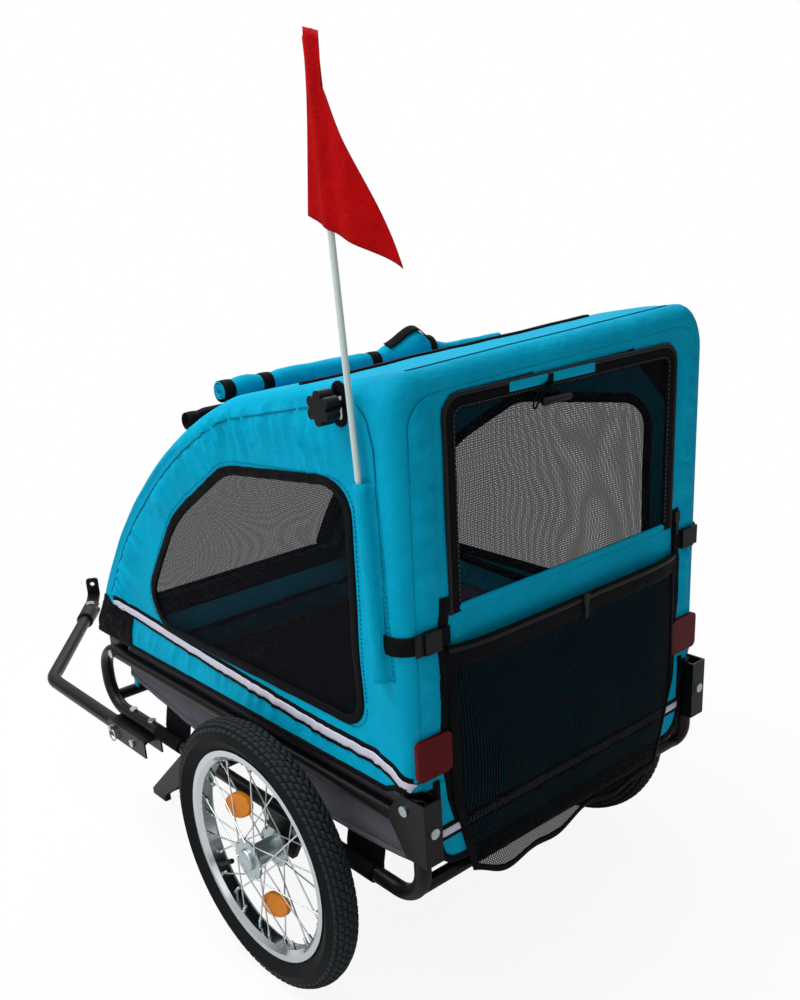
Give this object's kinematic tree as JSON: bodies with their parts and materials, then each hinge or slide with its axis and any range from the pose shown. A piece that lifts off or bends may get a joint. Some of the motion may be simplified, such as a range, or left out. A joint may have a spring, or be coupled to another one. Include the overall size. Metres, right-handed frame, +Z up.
{
  "type": "dog bike trailer",
  "caption": "Two-wheeled pet trailer towed behind a bicycle: cloth cabin with mesh windows on a tube frame, spoked wheels, side tow bar, rear door and pocket, safety flag.",
  "frame": {"origin": "On the ground, at the middle of the whole width and of the whole length from the rear pocket to the hitch.", "axes": "+Y is the way it travels, with the tow bar at +Y. +X is its right-hand side. +Z is up."},
  "size_m": [0.716, 1.5054, 1.2332],
  "materials": {
    "tyre_rubber": "matte black rubber with a block tread",
    "rim_alloy": "polished alloy",
    "hub_zinc": "bright zinc plate",
    "bearing_steel": "ground steel with dark shields",
    "spoke_steel": "bright zinc plate",
    "zinc_steel": "bright zinc plate",
    "amber_lens": "clear moulded amber with a prism back",
    "red_lens": "clear moulded red with a prism back",
    "black_tube": "satin black powder coat",
    "black_plastic": "moulded nylon, light texture",
    "turquoise_cloth": "coated woven polyester",
    "black_cloth": "woven polyester webbing and tape",
    "black_mesh": "open woven polyester mesh",
    "grey_cloth": "coated woven polyester",
    "floor_board": "hollow plastic board",
    "flag_cloth": "thin coated nylon",
    "pole_fibre": "white glass-fibre rod"
  },
  "bodies": {
    "base": {"axle_left": "zinc_steel", "axle_plates": "black_tube", "axle_right": "zinc_steel", "buckle_sockets": "black_plastic", "cover_roll": "turquoise_cloth", "flag_sleeve": "turquoise_cloth", "floor_cross_tubes": "black_tube", "floor_pad": "black_cloth", "floor_panel": "floor_board", "floor_slings": "black_cloth", "front_brackets": "black_tube", "front_hoop": "black_tube", "front_mesh": "black_mesh", "front_panel": "turquoise_cloth", "handle_clamps": "black_plastic", "hinge_pins": "zinc_steel", "lower_sides": "grey_cloth", "rain_roll": "black_cloth", "rear_brackets": "black_tube", "rear_hoop": "black_tube", "rear_panel": "turquoise_cloth", "rear_pocket": "black_mesh", "rear_reflectors": "red_lens", "rear_skirt": "turquoise_cloth", "roof_panel": "turquoise_cloth", "side_loop_left": "black_tube", "side_loop_right": "black_tube", "side_mesh_left": "black_mesh", "side_mesh_right": "black_mesh", "side_panel_left": "turquoise_cloth", "side_panel_right": "turquoise_cloth", "tow_bracket": "black_tube"},
    "wheel_right": {"wheel_right_bearings": "bearing_steel", "wheel_right_hub": "hub_zinc", "wheel_right_reflectors": "amber_lens", "wheel_right_rim": "rim_alloy", "wheel_right_spokes": "spoke_steel", "wheel_right_tyre": "tyre_rubber"},
    "wheel_left": {"wheel_left_bearings": "bearing_steel", "wheel_left_hub": "hub_zinc", "wheel_left_reflectors": "amber_lens", "wheel_left_rim": "rim_alloy", "wheel_left_spokes": "spoke_steel", "wheel_left_tyre": "tyre_rubber"},
    "knob_right": {"knob_right": "black_plastic"},
    "knob_left": {"knob_left": "black_plastic"},
    "rear_door": {"rear_door_frame": "black_cloth", "rear_door_mesh": "black_mesh"},
    "door_zip": {"door_zip_slider": "black_plastic"},
    "pocket_zip": {"pocket_zip_slider": "black_plastic"},
    "buckle_right": {"buckle_right_tongue": "black_plastic"},
    "buckle_left": {"buckle_left_tongue": "black_plastic"},
    "flag": {"flag": "flag_cloth", "flag_pole": "pole_fibre"},
    "tow_bar": {"tow_bar": "black_tube", "tow_coupler": "black_plastic", "hitch_bolt": "zinc_steel"},
    "hitch": {"hitch_plate": "zinc_steel"},
    "tow_lock": {"tow_lock_pin": "zinc_steel"},
    "parking_stand": {"parking_stand": "black_tube"}
  },
  "joints": [
    {"name": "wheel_right_spin", "type": "hinge", "parent": "base", "child": "wheel_right", "pos_m": [0.3275, -0.42618, 0.202], "axis": [1, 0, 0], "continuous": true},
    {"name": "wheel_left_spin", "type": "hinge", "parent": "base", "child": "wheel_left", "pos_m": [-0.3275, -0.42618, 0.202], "axis": [1, 0, 0], "continuous": true},
    {"name": "knob_right_turn", "type": "hinge", "parent": "base", "child": "knob_right", "pos_m": [0.302, -0.62118, 0.857], "axis": [1, 0, 0], "range_deg": [0, 180]},
    {"name": "knob_left_turn", "type": "hinge", "parent": "base", "child": "knob_left", "pos_m": [-0.302, -0.62118, 0.857], "axis": [-1, 0, 0], "range_deg": [0, 180]},
    {"name": "rear_door_open", "type": "hinge", "parent": "base", "child": "rear_door", "pos_m": [0, -0.71218, 0.6075], "axis": [1, 0, 0], "range_deg": [0, 140]},
    {"name": "door_zip_run", "type": "slide", "parent": "base", "child": "door_zip", "axis": [0, 0, 1], "range_m": [0, 0.2]},
    {"name": "pocket_zip_run", "type": "slide", "parent": "base", "child": "pocket_zip", "axis": [1, 0, 0], "range_m": [-0.2, 0.18]},
    {"name": "buckle_right_release", "type": "slide", "parent": "base", "child": "buckle_right", "axis": [1, 0, 0], "range_m": [0, 0.024]},
    {"name": "buckle_left_release", "type": "slide", "parent": "base", "child": "buckle_left", "axis": [-1, 0, 0], "range_m": [0, 0.024]},
    {"name": "flag_lift", "type": "slide", "parent": "base", "child": "flag", "axis": [0, 0.0645, 0.9979], "range_m": [0, 0.24]},
    {"name": "tow_bar_fold", "type": "hinge", "parent": "base", "child": "tow_bar", "pos_m": [-0.284, 0.00382, 0.204], "axis": [1, 0, 0], "range_deg": [-176, 0]},
    {"name": "hitch_swivel", "type": "hinge", "parent": "tow_bar", "child": "hitch", "pos_m": [-0.05436, 0.65475, 0.204], "axis": [0, 0, 1], "range_deg": [-60, 60]},
    {"name": "tow_lock_pull", "type": "slide", "parent": "base", "child": "tow_lock", "axis": [-1, 0, 0], "range_m": [0, 0.045]},
    {"name": "parking_stand_fold", "type": "hinge", "parent": "base", "child": "parking_stand", "pos_m": [0, -0.13618, 0.232], "axis": [-1, 0, 0], "range_deg": [-35, 0]}
  ]
}
